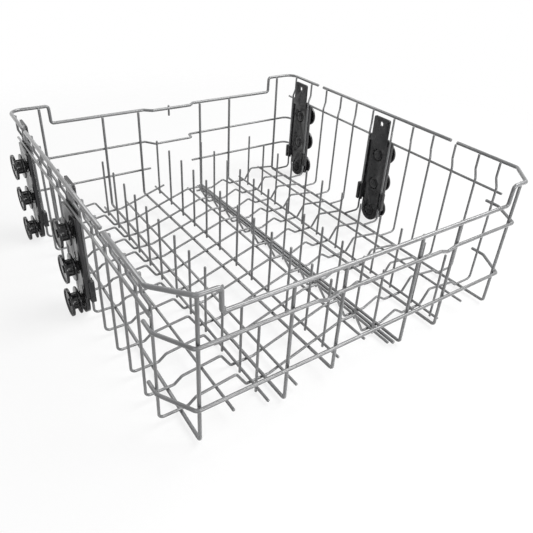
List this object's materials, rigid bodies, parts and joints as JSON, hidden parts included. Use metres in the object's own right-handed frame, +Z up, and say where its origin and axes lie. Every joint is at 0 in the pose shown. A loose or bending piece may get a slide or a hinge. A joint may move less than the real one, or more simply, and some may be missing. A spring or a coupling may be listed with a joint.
{
  "type": "dishwasher basket",
  "caption": "Upper dishwasher basket of coated wire: dipped rim, stepped floor with tine rows, and moulded side carriers with double-flanged rollers.",
  "frame": {"origin": "centre of the footprint, on the surface the basket stands on", "axes": "+Z up, +Y to the back wall, +X to the right seen from the front"},
  "size_m": [0.5278, 0.5148, 0.1867],
  "materials": {
    "coated_wire": "satin grey nylon coat on steel wire",
    "carrier_plastic": "black moulded plastic, fine grain",
    "roller_plastic": "black moulded plastic, satin"
  },
  "bodies": {
    "basket": {"axles_left_back": "carrier_plastic", "axles_left_front": "carrier_plastic", "axles_right_back": "carrier_plastic", "axles_right_front": "carrier_plastic", "back_low_wires": "coated_wire", "back_mid_wire": "coated_wire", "back_rim": "coated_wire", "back_stub": "coated_wire", "carrier_left_back": "carrier_plastic", "carrier_left_front": "carrier_plastic", "carrier_right_back": "carrier_plastic", "carrier_right_front": "carrier_plastic", "cross_wire_01": "coated_wire", "cross_wire_02": "coated_wire", "cross_wire_03": "coated_wire", "cross_wire_04": "coated_wire", "cross_wire_05": "coated_wire", "cross_wire_06": "coated_wire", "cross_wire_07": "coated_wire", "cross_wire_08": "coated_wire", "cross_wire_09": "coated_wire", "cross_wire_10": "coated_wire", "cross_wire_11": "coated_wire", "cross_wire_12": "coated_wire", "floor_rod_1": "coated_wire", "floor_rod_2": "coated_wire", "floor_rod_3": "coated_wire", "floor_rod_4": "coated_wire", "floor_rod_5": "coated_wire", "front_low_rail": "coated_wire", "front_mid_rail": "coated_wire", "front_rim": "coated_wire", "loop_1": "coated_wire", "loop_2": "coated_wire", "loop_3": "coated_wire", "loop_4": "coated_wire", "loop_5": "coated_wire", "loop_6": "coated_wire", "side_rim_left": "coated_wire", "side_rim_right": "coated_wire", "side_wire_left": "coated_wire", "side_wire_right": "coated_wire", "tine_row_1": "coated_wire", "tine_row_2": "coated_wire", "tine_row_3": "coated_wire", "tine_row_4": "coated_wire"},
    "roller_left_back_low": {"roller_left_back_low": "roller_plastic"},
    "roller_left_back_mid": {"roller_left_back_mid": "roller_plastic"},
    "roller_left_back_top": {"roller_left_back_top": "roller_plastic"},
    "roller_left_front_low": {"roller_left_front_low": "roller_plastic"},
    "roller_left_front_mid": {"roller_left_front_mid": "roller_plastic"},
    "roller_left_front_top": {"roller_left_front_top": "roller_plastic"},
    "roller_right_back_low": {"roller_right_back_low": "roller_plastic"},
    "roller_right_back_mid": {"roller_right_back_mid": "roller_plastic"},
    "roller_right_back_top": {"roller_right_back_top": "roller_plastic"},
    "roller_right_front_low": {"roller_right_front_low": "roller_plastic"},
    "roller_right_front_mid": {"roller_right_front_mid": "roller_plastic"},
    "roller_right_front_top": {"roller_right_front_top": "roller_plastic"}
  },
  "joints": [
    {"name": "roller_left_back_low_spin", "type": "hinge", "parent": "basket", "child": "roller_left_back_low", "pos_m": [-0.256, 0.21325, 0.0185], "axis": [1, 0, 0], "continuous": true},
    {"name": "roller_left_back_mid_spin", "type": "hinge", "parent": "basket", "child": "roller_left_back_mid", "pos_m": [-0.256, 0.21325, 0.068], "axis": [1, 0, 0], "continuous": true},
    {"name": "roller_left_back_top_spin", "type": "hinge", "parent": "basket", "child": "roller_left_back_top", "pos_m": [-0.256, 0.21325, 0.1175], "axis": [1, 0, 0], "continuous": true},
    {"name": "roller_left_front_low_spin", "type": "hinge", "parent": "basket", "child": "roller_left_front_low", "pos_m": [-0.256, 0.00525, 0.0185], "axis": [1, 0, 0], "continuous": true},
    {"name": "roller_left_front_mid_spin", "type": "hinge", "parent": "basket", "child": "roller_left_front_mid", "pos_m": [-0.256, 0.00525, 0.068], "axis": [1, 0, 0], "continuous": true},
    {"name": "roller_left_front_top_spin", "type": "hinge", "parent": "basket", "child": "roller_left_front_top", "pos_m": [-0.256, 0.00525, 0.1175], "axis": [1, 0, 0], "continuous": true},
    {"name": "roller_right_back_low_spin", "type": "hinge", "parent": "basket", "child": "roller_right_back_low", "pos_m": [0.256, 0.21325, 0.0185], "axis": [1, 0, 0], "continuous": true},
    {"name": "roller_right_back_mid_spin", "type": "hinge", "parent": "basket", "child": "roller_right_back_mid", "pos_m": [0.256, 0.21325, 0.068], "axis": [1, 0, 0], "continuous": true},
    {"name": "roller_right_back_top_spin", "type": "hinge", "parent": "basket", "child": "roller_right_back_top", "pos_m": [0.256, 0.21325, 0.1175], "axis": [1, 0, 0], "continuous": true},
    {"name": "roller_right_front_low_spin", "type": "hinge", "parent": "basket", "child": "roller_right_front_low", "pos_m": [0.256, 0.00525, 0.0185], "axis": [1, 0, 0], "continuous": true},
    {"name": "roller_right_front_mid_spin", "type": "hinge", "parent": "basket", "child": "roller_right_front_mid", "pos_m": [0.256, 0.00525, 0.068], "axis": [1, 0, 0], "continuous": true},
    {"name": "roller_right_front_top_spin", "type": "hinge", "parent": "basket", "child": "roller_right_front_top", "pos_m": [0.256, 0.00525, 0.1175], "axis": [1, 0, 0], "continuous": true}
  ]
}
